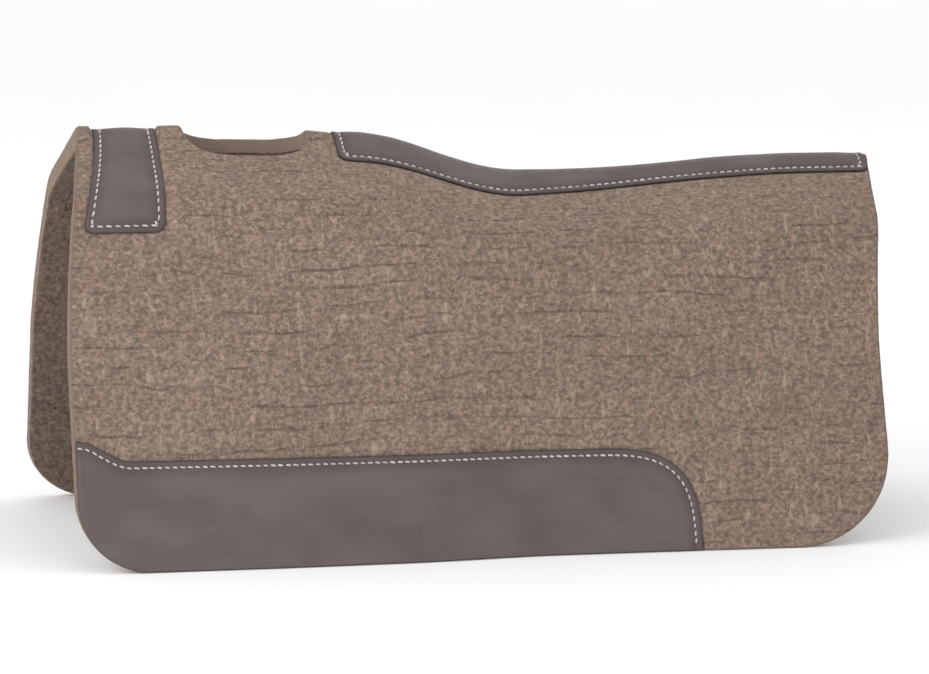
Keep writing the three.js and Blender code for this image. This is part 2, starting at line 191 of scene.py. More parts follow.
def on_pad(x, girth, lift):
    """The place of (x, girth, lift) in the row frame, as an array whose last axis is X, Y, Z."""
    x, girth, lift = np.broadcast_arrays(x, girth, lift)
    side, height = section(np.abs(girth), lift)
    return np.stack([x - MIDDLE, np.sign(girth) * side, topline(x) + height], axis=-1)


def ground_girth(x, lift):
    """Girth where a face at this lift meets the ground: the shoulder's end, and from there the height that
    is left over the sine of the wall's slope."""
    _, height = section(SHOULDER_END, lift)
    return SHOULDER_END + (topline(x) + height) / np.sin(WALL_SLOPE)


def seam_girth(lift):
    """Girth where a face at this lift stands the seam's half gap from the middle plane."""
    radius = CROWN_RADIUS + lift
    return CROWN_RADIUS * np.arcsin(SEAM_HALF_GAP / radius)


def corner_inset(distance, radius):
    """How far a quarter circle has drawn in, at a distance from the end of its straight edge."""
    into = radius - np.clip(distance, 0, radius)
    return radius - np.sqrt(radius**2 - into**2)


def sweep(girth, reach):
    """A power of what is left of a reach, 1 at the spine and 0 from the reach on."""
    return np.maximum(0, 1 - girth / reach) ** EDGE_SWEEP


def felt_front(girth):
    """The front edge: it leans back towards the spine by a swept share of the lean."""
    return FRONT_LEAN * sweep(girth, FRONT_LEAN_GIRTH)


def felt_rear(girth):
    """The rear edge: it overhangs towards the spine by a swept share of the overhang."""
    return FLANK_LENGTH + REAR_OVERHANG * sweep(girth, REAR_OVERHANG_GIRTH)


def vent_edge(x, grown, side):
    """Girth of the vent's edge at x on a side of the spine: half a superellipse, whose half axes are both
    grown by some more."""
    along = np.abs(x - VENT_START - VENT_LENGTH / 2) / (VENT_LENGTH / 2 + grown)
    inside = np.clip(1 - along**VENT_BLUNTNESS, 0, 1)
    width = np.where(side < 0, VENT_LEFT_WIDTH, VENT_RIGHT_WIDTH)
    return (width + grown) * inside ** (1 / VENT_BLUNTNESS)


def strap_edges(girth):
    """Front and rear edge of the wither strap: each swept forward by a power of the share of its half
    length."""
    share = np.abs(girth / STRAP_HALF_LENGTH) ** STRAP_SWEEP_POWER
    return STRAP_FRONT - STRAP_FRONT_SWEEP * share, STRAP_REAR - STRAP_REAR_SWEEP * share


def strip_half(x):
    """Half width of the spine strip: it narrows smoothly from its front width to its rear width."""
    return STRIP_FRONT_HALF - (STRIP_FRONT_HALF - STRIP_REAR_HALF) * smooth(
        x, STRIP_TAPER_START, STRIP_TAPER_END
    )


def wear_top(x):
    """Top edge of a wear leather above the hem, before its rear corner: a smooth step down, and a straight
    taper."""
    step = smooth(x, WEAR_STEP_START, WEAR_STEP_END)
    return WEAR_FRONT_HEIGHT + (WEAR_HEIGHT - WEAR_FRONT_HEIGHT) * step - WEAR_TAPER * x / WEAR_REAR


def depth_in_box(along, half_along, across, half_across, radius):
    """How far a point lies inside a box with rounded corners, negative outside: the signed distance of a
    rounded box, turned round."""
    q = np.abs(along) - half_along + radius
    r = np.abs(across) - half_across + radius
    outside = np.hypot(np.maximum(q, 0), np.maximum(r, 0))
    return radius - outside - np.minimum(np.maximum(q, r), 0)


def depth_in_strap(x, girth):
    """How far a point lies inside the wither strap's outline."""
    front, rear = strap_edges(girth)
    half = (rear - front) / 2
    return depth_in_box(x - front - half, half, girth, STRAP_HALF_LENGTH, STRAP_CORNER)


def depth_in_strip(x, girth):
    """How far a point lies inside the spine strip's outline."""
    half = (STRIP_END - STRIP_START) / 2
    return depth_in_box(x - STRIP_START - half, half, girth, strip_half(x), STRIP_CORNER)


def depth_in_wear(x, girth):
    """How far a point lies inside the top and rear edge of a wear leather: a superellipse grown from its
    corner's centre reaches the point at some size, and what that size is short of 1 is divided by how fast
    it grows there."""
    reach = wear_top(x) - WEAR_FOOT
    slope = (wear_top(x + NEARBY) - wear_top(x - NEARBY)) / (2 * NEARBY)
    into = np.maximum(x - WEAR_REAR + WEAR_CORNER, 0) / WEAR_CORNER
    over = np.maximum(ground_girth(x, 0) - np.abs(girth) - WEAR_FOOT, 0) / reach
    size = np.maximum((into**WEAR_BLUNTNESS + over**WEAR_BLUNTNESS) ** (1 / WEAR_BLUNTNESS), 0.05)
    lengthwise = (into / size) ** (WEAR_BLUNTNESS - 1) / WEAR_CORNER
    girthwise = (over / size) ** (WEAR_BLUNTNESS - 1) / reach
    growth = np.hypot(lengthwise - girthwise * over * slope, girthwise)
    return (1 - size) / np.maximum(growth, 1 / WEAR_CORNER)


# ---- unevenness of the surfaces

LATTICE = 512


def uneven(x, y, length, width, seed):
    """Value noise from -1 to 1 with lumps of this length and width: random numbers on a lattice, blended
    over each cell with the quintic fade 6t^5 - 15t^4 + 10t^3."""
    table = np.random.default_rng(seed).uniform(-1, 1, (LATTICE, LATTICE))
    u, v = x / length + LATTICE / 2, y / width + LATTICE / 2
    i, j = np.floor(u).astype(int), np.floor(v).astype(int)
    s, t = u - i, v - j
    s, t = s**3 * (s * (6 * s - 15) + 10), t**3 * (t * (6 * t - 15) + 10)
    i, j, i1, j1 = i % LATTICE, j % LATTICE, (i + 1) % LATTICE, (j + 1) % LATTICE
    low = table[i, j] * (1 - s) + table[i1, j] * s
    high = table[i, j1] * (1 - s) + table[i1, j1] * s
    return low * (1 - t) + high * t


def lumps(x, y, sizes):
    """A sum of value noises, one for each (height, length, width, seed)."""
    return sum(height * uneven(x, y, length, width, seed) for height, length, width, seed in sizes)


CREASE_SPACING = 0.0185
CREASE_DEPTH = 0.0006
CREASE_WIDTH = 0.0022
PRESS_OUTSIDE, PRESS_INSIDE = 0.0045, 0.0012
SEAM_TROUGH, SEAM_TROUGH_WIDTH = 0.0007, 0.0022
PARED_OPENING, PARED_WIDTH = 0.020, 0.016
MARGIN_SWELL, MARGIN_SWELL_DEPTH, MARGIN_SWELL_WIDTH = 0.00025, 0.003, 0.0015
PILLOW_END = 0.030
DENTS_START, DENTS_END = 0.004, 0.016

# Each row: height of the lumps (for the creases, in rows or as a strength), length, width, seed.
CREASE_WAVES = ((0.42, 0.180, 0.060, 11), (0.15, 0.045, 0.022, 12), (0.06, 0.012, 0.009, 13))
CREASE_BREAKS = ((1.0, 0.026, 0.011, 14), (0.6, 0.009, 0.007, 15))
OUTER_LUMPS = ((0.0009, 0.120, 0.085, 21), (0.0004, 0.030, 0.020, 22), (0.00022, 0.011, 0.007, 23))
INNER_LUMPS = ((0.0007, 0.110, 0.080, 31), (0.0004, 0.027, 0.022, 32), (0.0002, 0.010, 0.008, 33))
LEATHER_DENTS = ((0.00050, 0.055, 0.040, 41), (0.00012, 0.016, 0.014, 42))


def above_hem(x, girth):
    """Height of a point above the hem, measured girthwise."""
    return ground_girth(x, 0) - np.abs(girth)


def crease_rows(x, girth):
    """A count of crease rows up from the hem: height over their spacing, made wavy by long, middling and
    short value noise. A crease runs where the count is half way between two whole numbers."""
    return above_hem(x, girth) / CREASE_SPACING + lumps(x, girth, CREASE_WAVES)


def crease_strength(x, girth):
    """How strong a crease is along its way, 0 to 1: stretches where a second noise is high."""
    return smooth(lumps(x, above_hem(x, girth), CREASE_BREAKS), -0.40, 0.85)


def crease_trough(x, girth):
    """Depth share of the creases, 0 to 1: a bell across each, by its distance in rows times the spacing."""
    off_row = (crease_rows(x, girth) % 1 - 0.5) * CREASE_SPACING
    return crease_strength(x, girth) * np.exp(-((off_row / CREASE_WIDTH) ** 2))


def withers_lift(x, girth, press):
    """Lift over the withers in front of the vent, a bell across the spine: up where nothing presses on the
    felt and down where the strap does."""
    bell = np.exp(-((girth / SWELL_WIDTH) ** 2)) * (1 - smooth(x, VENT_START, VENT_START + 0.030))
    return bell * (WITHERS_SWELL * (1 - press) - STRAP_SAG * press)


def pressed(x, girth):
    """How much of the leathers' pressure a point of the felt feels, rounded off outside their edges."""
    deepest = np.maximum(depth_in_strap(x, girth), depth_in_strip(x, girth))
    return smooth(np.maximum(deepest, depth_in_wear(x, girth)), -PRESS_OUTSIDE, PRESS_INSIDE)


def felt_outer_relief(x, girth):
    """Lift of the outer face: broad waves, lumps and fine pilling, less the creases, all flattened under
    leather, which also presses the felt down, and a small trough along the spine seam."""
    press = pressed(x, girth)
    seam = SEAM_TROUGH * np.exp(-((girth / SEAM_TROUGH_WIDTH) ** 2))
    bare = lumps(x, girth, OUTER_LUMPS) - CREASE_DEPTH * crease_trough(x, girth) - seam
    return bare * (1 - press) - LEATHER_SINK * press + withers_lift(x, girth, press)


def felt_inner_relief(x, girth):
    """Lift of the inner face, which lies on the horse: softer waves and lumps of the same wool, and the
    felt pared away along the vent."""
    edge = vent_edge(x, 0, girth)
    near_edge = np.exp(-(((np.abs(girth) - edge) / PARED_WIDTH) ** 2))
    return VENT_PARED * smooth(edge, 0, PARED_OPENING) * near_edge + lumps(x, girth, INNER_LUMPS)


def leather_relief(depth, x, girth):
    """Lift of a leather's face at a depth inside its edge: a groove along the stitching, a soft pillow
    inside it, a slight swell of the margin outside it, and shallow dents."""
    groove = STITCH_GROOVE * np.exp(-(((depth - STITCH_INSET) / STITCH_GROOVE_WIDTH) ** 2))
    pillow = PILLOW_RISE * smooth(depth, STITCH_INSET, PILLOW_END)
    swell = MARGIN_SWELL * np.exp(-(((depth - MARGIN_SWELL_DEPTH) / MARGIN_SWELL_WIDTH) ** 2))
    dents = lumps(x, girth, LEATHER_DENTS) * smooth(depth, DENTS_START, DENTS_END)
    return pillow - groove + swell + dents + withers_lift(x, girth, 1)


# ---- meshes


def mesh_object(name, points, faces, material, smooth_faces=True):
    """A mesh object from its points and faces. faces is a list of arrays, each of faces with one number of
    corners, listed anticlockwise as seen from outside."""
    mesh = bpy.data.meshes.new(name)
    corners = np.concatenate([block.ravel() for block in faces]).astype(np.int32)
    sizes = np.concatenate([np.full(len(block), block.shape[1]) for block in faces]).astype(np.int32)
    mesh.vertices.add(len(points))
    mesh.vertices.foreach_set("co", np.asarray(points, np.float32).ravel())
    mesh.loops.add(len(corners))
    mesh.loops.foreach_set("vertex_index", corners)
    mesh.polygons.add(len(sizes))
    mesh.polygons.foreach_set("loop_start", np.concatenate([[0], np.cumsum(sizes)[:-1]]).astype(np.int32))
    mesh.update(calc_edges=True)
    mesh.validate()
    mesh.polygons.foreach_set("use_smooth", np.full(len(mesh.polygons), smooth_faces))
    mesh.materials.append(material)
    made = bpy.data.objects.new(name, mesh)
    bpy.context.scene.collection.objects.link(made)
    return made


def surface_map(made, name, u, v):
    """Gives the mesh a UV map of that name from one u and one v for each point."""
    mesh = made.data
    corner = np.zeros(len(mesh.loops), np.int32)
    mesh.loops.foreach_get("vertex_index", corner)
    layer = mesh.uv_layers.new(name=name)
    layer.data.foreach_set("uv", np.stack([u[corner], v[corner]], axis=-1).astype(np.float32).ravel())


def point_values(made, name, values):
    """Stores one number for each point of the mesh under that name, for the material to read."""
    attribute = made.data.attributes.new(name, "FLOAT", "POINT")
    attribute.data.foreach_set("value", np.asarray(values, np.float32))


PATTERN_APART = 2.6  # the two sides of the pad wear patterns from places this far apart


def closed_skin(name, place, columns, rows, profile, reliefs, material, flip):
    """A closed skin over a patch of the pad. place(column, row, inset, lift) gives (x, girth) of the patch's
    grid with its outline drawn in by inset. The outer face is that grid at the profile's first step
    (inset, lift, share of outer relief, share of inner relief, cut edge), the inner face is the grid at its
    last step, and the grid's border is carried through the steps between to make the rounded edge.
    Returns the object and its x, girth, shares and cut, one of each for each point."""
    column, row = np.meshgrid(np.arange(columns), np.arange(rows), indexing="ij")
    index = column * rows + row
    border = np.concatenate([index[:-1, 0], index[-1, :-1], index[:0:-1, -1], index[0, :0:-1]])
    outer_relief, inner_relief = reliefs
    parts = []
    for step, (inset, lift, outer, inner, cut) in enumerate(profile):
        at = index.ravel() if step in (0, len(profile) - 1) else border
        x, girth = place(column.ravel()[at], row.ravel()[at], inset, lift)
        raised = lift + outer * outer_relief(x, girth) + inner * inner_relief(x, girth)
        ones = np.ones_like(x)
        parts.append((on_pad(x, girth, raised), x, girth, outer * ones, inner * ones, cut * ones))
    points, x, girth, outer, inner, cut = (np.concatenate(group) for group in zip(*parts))
    points[:, 2] = np.maximum(points[:, 2], 0)

    size = columns * rows
    last = size + (len(profile) - 2) * len(border)
    loops = [border]
    loops += [size + k * len(border) + np.arange(len(border)) for k in range(len(profile) - 2)]
    loops.append(last + border)
    a, b, c, d = index[:-1, :-1], index[1:, :-1], index[1:, 1:], index[:-1, 1:]
    outer_face = np.stack([a, b, c, d], axis=-1).reshape(-1, 4)
    inner_face = last + np.stack([a, d, c, b], axis=-1).reshape(-1, 4)
    walls = [
        np.stack([upper, lower, np.roll(lower, -1), np.roll(upper, -1)], axis=-1)
        for upper, lower in zip(loops[:-1], loops[1:])
    ]
    quads = np.concatenate([outer_face, *walls, inner_face])
    if flip:
        quads = quads[:, ::-1]
    made = mesh_object(name, points, [quads], material)
    right_side = PATTERN_APART if girth.min() > 0 else 0.0
    height = above_hem(x, girth) + (1 - outer) * PATTERN_APART / 2 + right_side
    surface_map(made, "surface", x, height)
    return made, x, girth, outer, inner, cut


def edge_profile(thickness, base, radius, steps):
    """The steps of a rounded cut edge: a quarter circle down from the outer face, the straight cut, and a
    quarter circle to the inner face. base is the lift of the outer face."""
    angle = np.linspace(0, np.pi / 2, steps)
    down = [(radius * (1 - np.sin(t)), base - radius * (1 - np.cos(t))) for t in angle]
    up = [(inset, 2 * base - thickness - lift) for inset, lift in reversed(down)]
    straight = [(0.0, base - thickness * share) for share in (0.35, 0.5, 0.65)]
    stages = down + straight + up
    share = np.linspace(0, 1, len(stages))
    outer = np.clip(1 - 1.6 * share, 0, 1)
    inner = np.clip(1.6 * share - 0.6, 0, 1)
    cut = np.clip(4 * np.minimum(share, 1 - share) * 1.2, 0, 1)
    return [(*stage, o, i, c) for stage, o, i, c in zip(stages, outer, inner, cut)]


# ---- finishes


def paint(red, green, blue):
    """A colour from its display values of 0 to 255, as the linear RGBA that a shader takes."""
    share = np.array([red, green, blue]) / 255
    linear = np.where(share <= 0.04045, share / 12.92, ((share + 0.055) / 1.055) ** 2.4)
    return (*linear, 1.0)


def add_node(tree, kind, inputs=None, **settings):
    """A shader node with its settings, whose inputs are given as values or as sockets to join."""
    made = tree.nodes.new(kind)
    for key, value in settings.items():
        setattr(made, key, value)
    for key, value in (inputs or {}).items():
        if isinstance(value, bpy.types.NodeSocket):
            tree.links.new(value, made.inputs[key])
        else:
            made.inputs[key].default_value = value
    return made


def scaled(tree, where, scale, shift=0.0):
    """A place scaled along each axis and then shifted by one number."""
    made = add_node(
        tree, "ShaderNodeMapping", {"Vector": where, "Scale": scale, "Location": (shift, shift, shift)}
    )
    return made.outputs[0]


def noise(tree, where, across, along, detail=2.0, roughness=0.55, shift=0.0, distortion=0.0):
    """Noise with lumps of these sizes in metres, lengthwise and girthwise, as a socket of 0 to 1."""
    made = add_node(
        tree,
        "ShaderNodeTexNoise",
        {
            "Vector": scaled(tree, where, (1 / along, 1 / across, 1), shift),
            "Scale": 1.0,
            "Detail": detail,
            "Roughness": roughness,
            "Distortion": distortion,
        },
        noise_dimensions="2D",
    )
    return made.outputs["Fac"]


def ramp(tree, value, low, high, from_value=0.0, to_value=1.0):
    """Turns low..high of a value smoothly into from_value..to_value."""
    made = add_node(
        tree,
        "ShaderNodeMapRange",
        {"Value": value, "From Min": low, "From Max": high, "To Min": from_value, "To Max": to_value},
        interpolation_type="SMOOTHSTEP",
    )
    return made.outputs["Result"]


def sum_of(tree, operation, first, second):
    """A sum, product or other arithmetic of two values."""
    return add_node(tree, "ShaderNodeMath", {0: first, 1: second}, operation=operation).outputs[0]


def times(tree, first, second):
    """A product of two values."""
    return sum_of(tree, "MULTIPLY", first, second)


def marked(tree, name):
    """The number that the mesh stores for each point under this name."""
    return add_node(tree, "ShaderNodeAttribute", attribute_name=name).outputs["Fac"]


def mixed(tree, share, first, second, blend="MIX"):
    """Two colours mixed by a share."""
    made = add_node(
        tree, "ShaderNodeMix", {0: share, 6: first, 7: second}, data_type="RGBA", blend_type=blend
    )
    return made.outputs[2]


def brightened(tree, colour, factor):
    """A colour times a number."""
    grey = add_node(tree, "ShaderNodeCombineColor", {0: factor, 1: factor, 2: factor}).outputs[0]
    return mixed(tree, 1.0, colour, grey, "MULTIPLY")


def finish_material(name, **settings):
    """A material with its Principled BSDF set to these constants. Returns (material, tree, shader)."""
    made = bpy.data.materials.new(name)
    made.use_nodes = True
    shader = made.node_tree.nodes["Principled BSDF"]
    for key, value in settings.items():
        shader.inputs[key.replace("_", " ")].default_value = value
    return made, made.node_tree, shader


def bumped(tree, shader, height, distance, strength=1.0):
    """Gives the shader a bump from a height of 0 to 1 that stands for a distance in metres."""
    made = add_node(tree, "ShaderNodeBump", {"Height": height, "Distance": distance, "Strength": strength})
    tree.links.new(made.outputs["Normal"], shader.inputs["Normal"])


def pressed_wool_felt():
    """Grey-brown wool felt: brown and grey patches under light and dark blobs, cream and dark tufts, cream
    wisps that run girthwise, a haze of fine fibres, painted shade along the lengthwise creases, a paler cut
    edge, and painted shade that darkens the inner face."""
    made, tree, shader = finish_material(
        "pressed wool felt", Roughness=0.95, Sheen_Weight=0.18, Sheen_Roughness=0.55
    )
    shader.inputs["Sheen Tint"].default_value = paint(214, 196, 178)
    shader.inputs["Specular IOR Level"].default_value = 0.15
    where = add_node(tree, "ShaderNodeUVMap", uv_map="surface").outputs[0]

    patches = noise(tree, where, 0.009, 0.011, 3.0)
    colour = mixed(tree, ramp(tree, patches, 0.34, 0.66), paint(122, 106, 96), paint(132, 111, 99))
    greyed = noise(tree, where, 0.045, 0.060, 2.0, shift=3.1)
    colour = mixed(tree, ramp(tree, greyed, 0.40, 0.70, 0.0, 0.35), colour, paint(129, 113, 103))
    blobs = noise(tree, where, 0.0042, 0.0050, 3.0, 0.6, shift=7.7)
    haze = noise(tree, where, 0.0016, 0.0020, 2.0, 0.7, shift=1.3, distortion=0.4)
    colour = brightened(tree, colour, ramp(tree, blobs, 0.32, 0.68, 0.74, 1.26))
    colour = brightened(tree, colour, ramp(tree, haze, 0.28, 0.72, 0.84, 1.16))
    lumps = noise(tree, where, 0.0100, 0.0125, 2.0, 0.5, shift=29.0)
    colour = brightened(tree, colour, ramp(tree, lumps, 0.32, 0.68, 0.90, 1.10))
    tufts = noise(tree, where, 0.0040, 0.0046, 2.0, 0.6, shift=11.9, distortion=0.4)
    colour = mixed(tree, ramp(tree, tufts, 0.56, 0.74, 0.0, 0.50), colour, paint(176, 157, 141))
    knots = noise(tree, where, 0.0040, 0.0050, 2.0, 0.6, shift=17.3, distortion=0.4)
    colour = mixed(tree, ramp(tree, knots, 0.58, 0.78, 0.0, 0.45), colour, paint(92, 76, 72))
    wisps = noise(tree, where, 0.0190, 0.0070, 3.0, 0.6, shift=37.0, distortion=0.6)
    colour = mixed(tree, ramp(tree, wisps, 0.56, 0.76, 0.0, 0.42), colour, paint(181, 163, 146))
    clouds = noise(tree, where, 0.110, 0.140, 2.0, shift=23.0)
    colour = brightened(tree, colour, ramp(tree, clouds, 0.30, 0.70, 0.96, 1.04))

    rows = marked(tree, "crease_rows")
    strength = marked(tree, "crease_strength")
    ragged = sum_of(tree, "ADD", rows, ramp(tree, blobs, 0.2, 0.8, -0.035, 0.035))
    within_row = add_node(tree, "ShaderNodeMath", {0: ragged}, operation="FRACT").outputs[0]
    from_middle = sum_of(tree, "SUBTRACT", within_row, 0.5)
    off_line = add_node(tree, "ShaderNodeMath", {0: from_middle}, operation="ABSOLUTE").outputs[0]
    # Dark lines along the crease troughs: painted shade in the creases.
    line = times(tree, ramp(tree, off_line, 0.01, 0.095, 1.0, 0.0), strength)
    colour = mixed(tree, times(tree, line, 0.62), colour, paint(82, 67, 62))

    cut = marked(tree, "cut_edge")
    colour = mixed(tree, times(tree, cut, 0.35), colour, paint(160, 141, 126))
    # The inner face is darkened as painted shade inside the pad, the same wool as the outer face.
    inner = marked(tree, "inner_face")
    colour = brightened(tree, colour, ramp(tree, inner, 0.3, 1.0, 1.0, 0.72))
    tree.links.new(colour, shader.inputs["Base Color"])

    height = sum_of(tree, "ADD", times(tree, blobs, 0.6), times(tree, haze, 0.4))
    height = sum_of(tree, "SUBTRACT", height, times(tree, line, 0.45))
    bumped(tree, shader, height, 0.0009)
    return made


def oiled_leather():
    """Dark brown oiled leather: a fine pebbled grain, faintly cloudy tone, lengthwise stretch marks, painted
    shade on the margin outside the stitching, painted shade and darker wax inside it, and a dark edge that
    is burnished and also painted shadow along the raised edge."""
    made, tree, shader = finish_material("oiled leather", Roughness=0.58)
    shader.inputs["Specular IOR Level"].default_value = 0.28
    where = add_node(tree, "ShaderNodeUVMap", uv_map="surface").outputs[0]
    depth = marked(tree, "edge_depth")

    clouds = noise(tree, where, 0.050, 0.075, 3.0)
    colour = mixed(tree, ramp(tree, clouds, 0.30, 0.70), paint(92, 81, 79), paint(100, 91, 88))
    streaks = noise(tree, where, 0.0016, 0.060, 2.0, shift=5.0)
    colour = brightened(tree, colour, ramp(tree, streaks, 0.30, 0.70, 0.97, 1.03))
    # Painted shade, with some darker wax, in a band inside the stitching where the leather is drawn down to
    # the seam.
    seam_shade_and_wax = times(tree, ramp(tree, depth, 0.005, 0.007), ramp(tree, depth, 0.007, 0.019, 1.0, 0.0))
    colour = mixed(tree, times(tree, seam_shade_and_wax, 0.45), colour, paint(72, 59, 57))
    # The margin outside the stitching is darkened as painted shade where it turns down to the edge.
    margin = ramp(tree, depth, 0.0045, 0.0068, 1.0, 0.0)
    colour = mixed(tree, times(tree, margin, 0.50), colour, paint(80, 68, 71))
    # A dark band along the edge: burnished leather, and painted shadow along the leather's raised edge.
    burnish_and_edge_shadow = ramp(tree, depth, 0.0002, 0.0030, 1.0, 0.0)
    colour = mixed(tree, times(tree, burnish_and_edge_shadow, 0.40), colour, paint(58, 48, 49))
    cut = marked(tree, "cut_edge")
    colour = mixed(tree, times(tree, cut, 0.6), colour, paint(60, 50, 50))
    tree.links.new(colour, shader.inputs["Base Color"])

    pebbles = add_node(
        tree,
        "ShaderNodeTexVoronoi",
        {"Vector": scaled(tree, where, (1 / 0.0011, 1 / 0.0009, 1)), "Scale": 1.0},
        feature="SMOOTH_F1",
        voronoi_dimensions="2D",
    ).outputs["Distance"]
    wrinkles = noise(tree, where, 0.0060, 0.0090, 4.0, 0.6, shift=9.0)
    height = sum_of(tree, "ADD", times(tree, pebbles, 0.25), times(tree, wrinkles, 0.75))
    bumped(tree, shader, height, 0.00025, 0.8)
    tree.links.new(ramp(tree, wrinkles, 0.3, 0.7, 0.46, 0.58), shader.inputs["Roughness"])
    return made


def waxed_thread():
    """Cream waxed thread: diagonal plies along its own length with painted shade in the grooves between
    them, a slightly different tone for each stitch, and brown where the tone is below nothing, for stitches
    felted into the wool."""
    made, tree, shader = finish_material("waxed thread", Roughness=0.6, Sheen_Weight=0.1)
    where = add_node(tree, "ShaderNodeUVMap", uv_map="twist").outputs[0]
    plies = add_node(
        tree,
        "ShaderNodeTexWave",
        {"Vector": scaled(tree, where, (1 / 0.0042, 0.9, 1)), "Scale": 1.0, "Distortion": 0.6},
        wave_type="BANDS",
        bands_direction="DIAGONAL",
    ).outputs["Fac"]
    tone = marked(tree, "tone")
    colour = mixed(tree, tone, paint(176, 167, 162), paint(214, 207, 203))
    # Darker where the plies are low: painted shade in the grooves between them.
    colour = mixed(tree, ramp(tree, plies, 0.55, 0.0, 0.0, 0.30), colour, paint(140, 130, 124))
    colour = mixed(tree, ramp(tree, tone, -1.0, -0.5, 1.0, 0.0), colour, paint(84, 71, 64))
    tree.links.new(colour, shader.inputs["Base Color"])
    bumped(tree, shader, plies, 0.00018)
    return made


def floor_paper():
    """White studio paper with a faint tooth."""
    made, tree, shader = finish_material("studio paper", Roughness=0.9)
    where = add_node(tree, "ShaderNodeTexCoord").outputs["Object"]
    tooth = noise(tree, where, 0.30, 0.30, 3.0)
    colour = mixed(tree, tooth, paint(246, 246, 246), paint(249, 249, 249))
    tree.links.new(colour, shader.inputs["Base Color"])
    shader.inputs["Specular IOR Level"].default_value = 0.1
    shader.inputs["Emission Color"].default_value = paint(255, 255, 255)
    shader.inputs["Emission Strength"].default_value = 0.10
    return made


FELT, LEATHER, THREAD = pressed_wool_felt(), oiled_leather(), waxed_thread()

# ---- felt halves

FRONT_COLUMNS, REAR_COLUMNS, VENT_COLUMNS = 22, 34, 44
COLUMN_WIDTH = 0.005
UPPER_ROWS, CORNER_ROWS = 165, 64


def end_shares(count):
    """Shares from 0 up to but not counting 1, close together near 0: 1 less the cosine of a quarter turn."""
    return 1 - np.cos(np.linspace(0, np.pi / 2, count, endpoint=False))


def felt_columns():
    """For each column of the felt: (fixed place, share of the front edge, share of the rear edge, share of
    the inset), which its x adds up. Columns crowd towards both edges and round the ends of the vent."""
    near_front = end_shares(FRONT_COLUMNS)
    near_rear = end_shares(REAR_COLUMNS)[::-1]
    vent = -np.cos(np.linspace(0, np.pi, VENT_COLUMNS))
    middle_of_vent = VENT_START + VENT_LENGTH / 2
    before = np.arange(STRAP_REAR, VENT_START - COLUMN_WIDTH / 2, COLUMN_WIDTH)
    after = np.linspace(
        VENT_START + VENT_LENGTH, REAR_ZONE, round((REAR_ZONE - VENT_START - VENT_LENGTH) / COLUMN_WIDTH)
    )

    def block(place, front=0.0, rear=0.0, inset=0.0):
        return np.stack(np.broadcast_arrays(place, front, rear, inset), -1)

    return np.concatenate(
        [
            block(STRAP_REAR * near_front, front=1 - near_front),
            block(before, inset=-smooth(before, STRAP_REAR, VENT_START)),
            block(middle_of_vent + vent * VENT_LENGTH / 2, inset=vent),
            block(after, inset=1 - smooth(after, VENT_START + VENT_LENGTH, DIP_END))[1:],
            block(REAR_ZONE * near_rear, rear=1 - near_rear),
        ]
    )


def felt_rows():
    """For each row of the felt: (share of its top edge, share of the hem, share of the corner's radius),
    which its girth adds up. Rows are even down to the corners and crowd towards the hem."""
    upper = np.linspace(0, 1, UPPER_ROWS)
    corner = 1 - np.sin(np.linspace(0, np.pi / 2, CORNER_ROWS)[1:])
    return np.concatenate(
        [
            np.stack([1 - upper, upper, upper], -1),
            np.stack([np.zeros_like(corner), np.ones_like(corner), corner], -1),
        ]
    )


COLUMNS, ROWS = felt_columns(), felt_rows()


def felt_place(side):
    """The felt half's grid on the surface, for one side of the spine."""

    def row_girth(x, row, inset, lift):
        """A row's girth: its shares of the top edge, of the hem less the inset, and of the corner."""
        top = np.maximum(seam_girth(lift), vent_edge(x, inset, side))
        hem = ground_girth(x, lift) - inset
        return row[:, 0] * top + row[:, 1] * hem - row[:, 2] * (REAR_CORNER_RADIUS - inset)

    def place(column, row, inset, lift):
        """The column's x, from the front and rear edges at the row's ends, and then the row's girth."""
        c, r = COLUMNS[column], ROWS[row]
        at_front = row_girth(0.0, r, inset, lift)
        at_rear = row_girth(FLANK_LENGTH, r, inset, lift)
        low_front = ground_girth(0.0, lift) - inset - at_front
        low_rear = ground_girth(FLANK_LENGTH, lift) - inset - at_rear
        front = felt_front(at_front) + inset + corner_inset(low_front, FRONT_CORNER_RADIUS - inset)
        rear = felt_rear(at_rear) - inset - corner_inset(low_rear, REAR_CORNER_RADIUS - inset)
        ragged = 0.0002 * uneven(at_front, lift * np.ones_like(at_front), 0.007, 0.005, 51)
        x = c[:, 0] + c[:, 1] * (front + ragged) + c[:, 2] * (rear - ragged) + c[:, 3] * inset
        return x, side * row_girth(x, r, inset, lift)

    return place


def felt_half(name, side):
    """One felt half: a closed skin over its flank, with creases and a cut edge marked on it."""
    made, x, girth, outer, inner, cut = closed_skin(
        name,
        felt_place(side),
        len(COLUMNS),
        len(ROWS),
        edge_profile(FELT_THICKNESS, 0.0, FELT_EDGE_ROUND, 5),
        (felt_outer_relief, felt_inner_relief),
        FELT,
        flip=side == LEFT,
    )
    point_values(made, "crease_rows", crease_rows(x, girth))
    point_values(made, "crease_strength", crease_strength(x, girth) * outer * (1 - pressed(x, girth)))
    point_values(made, "cut_edge", cut)
    point_values(made, "inner_face", inner)
    return made


# ---- leather

# Distances in from a leather's edge, close together round the stitching.
MARGIN_STEPS = np.array([0, 0.4, 0.9, 1.6, 2.4, 3.3, 4.2, 5.0, 5.6, 6.1, 6.5, 6.9, 7.4, 8.0, 8.8, 9.8])
MARGIN_STEPS = np.append(MARGIN_STEPS, (11.0, 12.5)) / 1000
STRAP_STEPS = 0.003, 0.004  # grid steps girthwise and lengthwise
STRIP_STEPS = 0.003, 0.004


def across_shares(width, step):
    """Distances across a patch of this width: close together in both margins, a step apart between."""
    inner = MARGIN_STEPS[-1]
    between = np.linspace(inner, width - inner, max(2, round((width - 2 * inner) / step)) + 1)[1:-1]
    return np.concatenate([MARGIN_STEPS, between, width - MARGIN_STEPS[::-1]]) / width


